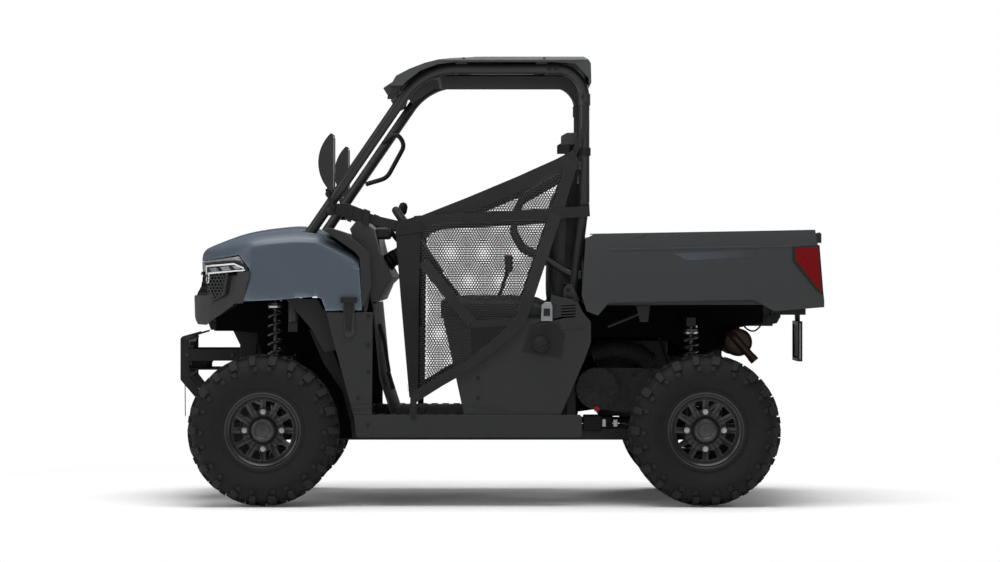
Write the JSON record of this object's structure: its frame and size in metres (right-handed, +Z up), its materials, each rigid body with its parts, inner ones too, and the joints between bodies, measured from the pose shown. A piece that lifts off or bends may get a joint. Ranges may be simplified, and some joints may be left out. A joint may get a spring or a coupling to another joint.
{
  "type": "side by side utility vehicle",
  "caption": "Two-seat side by side utility vehicle with roll cage, roof, side nets, forward-tilting nose, tipping cargo box and drop tailgate.",
  "frame": {"origin": "on the ground, under the middle of the vehicle's bounding box", "axes": "front along -X, driver's (left) side along -Y, +Z up"},
  "size_m": [2.742, 1.62, 1.915],
  "materials": {
    "frame_paint": "satin black powder coat",
    "cage_paint": "satin black powder coat",
    "body_plastic": "grained moulded polyethylene",
    "hood_plastic": "moulded-in slate blue with a soft gloss",
    "box_plastic": "grained moulded polyethylene",
    "seat_vinyl": "sewn marine vinyl",
    "cast_metal": "cast and machined housings",
    "shaft_steel": "turned steel",
    "spring_steel": "black coated spring wire",
    "muffler_steel": "heat-stained steel",
    "net_webbing": "woven nylon webbing and mesh",
    "mirror_plastic": "textured black plastic",
    "lamp_lens": "clear lens over a bright reflector",
    "tail_lens": "red lens",
    "bright_metal": "bare cast aluminium",
    "tyre_rubber": "black rubber",
    "rim_paint": "satin black paint"
  },
  "bodies": {
    "chassis": {"cage_cross_tubes": "cage_paint", "cage_front_tubes": "cage_paint", "cage_rear_tubes": "cage_paint", "clutch_cover": "body_plastic", "coil_springs": "spring_steel", "controls": "shaft_steel", "cowl": "body_plastic", "crossmembers": "frame_paint", "dashboard": "body_plastic", "drive_shafts": "shaft_steel", "engine_block": "cast_metal", "fairlead": "bright_metal", "floor_bearers": "frame_paint", "floor_pan": "body_plastic", "frame_brackets": "frame_paint", "front_bumper": "frame_paint", "front_side_panels": "body_plastic", "gearcases": "cast_metal", "hitch_receiver": "frame_paint", "lower_rails": "frame_paint", "muffler": "muffler_steel", "rack_housing": "cast_metal", "rear_carriers": "cast_metal", "restraint_bars": "cage_paint", "roof": "body_plastic", "seat_back": "seat_vinyl", "seat_box": "body_plastic", "seat_cushion": "seat_vinyl", "shocks": "shaft_steel", "side_mirrors": "mirror_plastic", "side_nets": "net_webbing", "steering_column": "shaft_steel", "suspension_arms": "frame_paint", "upper_rails": "frame_paint", "uprights": "frame_paint", "winch": "cast_metal"},
    "hood": {"hood": "hood_plastic", "front_fascia": "body_plastic", "grille": "body_plastic", "headlamps": "lamp_lens"},
    "knuckle_left": {"knuckle_left": "cast_metal"},
    "knuckle_right": {"knuckle_right": "cast_metal"},
    "steering_rack": {"tie_rods": "shaft_steel"},
    "steering_wheel": {"steering_wheel": "mirror_plastic"},
    "wheel_front_left": {"rim_front_left": "rim_paint", "tyre_front_left": "tyre_rubber"},
    "wheel_front_right": {"rim_front_right": "rim_paint", "tyre_front_right": "tyre_rubber"},
    "wheel_rear_left": {"rim_rear_left": "rim_paint", "tyre_rear_left": "tyre_rubber"},
    "wheel_rear_right": {"rim_rear_right": "rim_paint", "tyre_rear_right": "tyre_rubber"},
    "cargo_box": {"cargo_tub": "box_plastic", "box_underframe": "frame_paint", "tail_lamps": "tail_lens"},
    "tailgate": {"tailgate": "box_plastic"}
  },
  "joints": [
    {"name": "steer_left", "type": "hinge", "parent": "chassis", "child": "knuckle_left", "pos_m": [-0.98, -0.53, 0.32], "axis": [0, 0, 1], "range_deg": [-28, 28]},
    {"name": "steer_right", "type": "hinge", "parent": "chassis", "child": "knuckle_right", "pos_m": [-0.98, 0.53, 0.32], "axis": [0, 0, 1], "range_deg": [-28, 28]},
    {"name": "steering_wheel_turn", "type": "hinge", "parent": "chassis", "child": "steering_wheel", "pos_m": [-0.341, -0.3, 1.118], "axis": [0.8151, 0, 0.5793], "range_deg": [-253, 253]},
    {"name": "rack_slide", "type": "slide", "parent": "chassis", "child": "steering_rack", "axis": [0, 1, 0], "range_m": [-0.053, 0.053]},
    {"name": "spin_front_left", "type": "hinge", "parent": "knuckle_left", "child": "wheel_front_left", "pos_m": [-0.98, -0.6315, 0.32], "axis": [0, 1, 0], "continuous": true},
    {"name": "spin_front_right", "type": "hinge", "parent": "knuckle_right", "child": "wheel_front_right", "pos_m": [-0.98, 0.6315, 0.32], "axis": [0, 1, 0], "continuous": true},
    {"name": "spin_rear_left", "type": "hinge", "parent": "chassis", "child": "wheel_rear_left", "pos_m": [0.874, -0.6095, 0.32], "axis": [0, 1, 0], "continuous": true},
    {"name": "spin_rear_right", "type": "hinge", "parent": "chassis", "child": "wheel_rear_right", "pos_m": [0.874, 0.6095, 0.32], "axis": [0, 1, 0], "continuous": true},
    {"name": "hood_tilt", "type": "hinge", "parent": "chassis", "child": "hood", "pos_m": [-1.262, 0, 0.79], "axis": [0, -1, 0], "range_deg": [0, 60]},
    {"name": "box_tilt", "type": "hinge", "parent": "chassis", "child": "cargo_box", "pos_m": [1.2, 0, 0.796], "axis": [0, 1, 0], "range_deg": [0, 45]},
    {"name": "tailgate_drop", "type": "hinge", "parent": "cargo_box", "child": "tailgate", "pos_m": [1.362, 0, 0.876], "axis": [0, 1, 0], "range_deg": [0, 95]}
  ],
  "couplings": [
    {"joint": "steer_right", "follows": "steer_left", "ratio": 1},
    {"joint": "steering_wheel_turn", "follows": "steer_left", "ratio": 9},
    {"joint": "rack_slide", "follows": "steer_left", "m_per_rad": 0.10567}
  ]
}
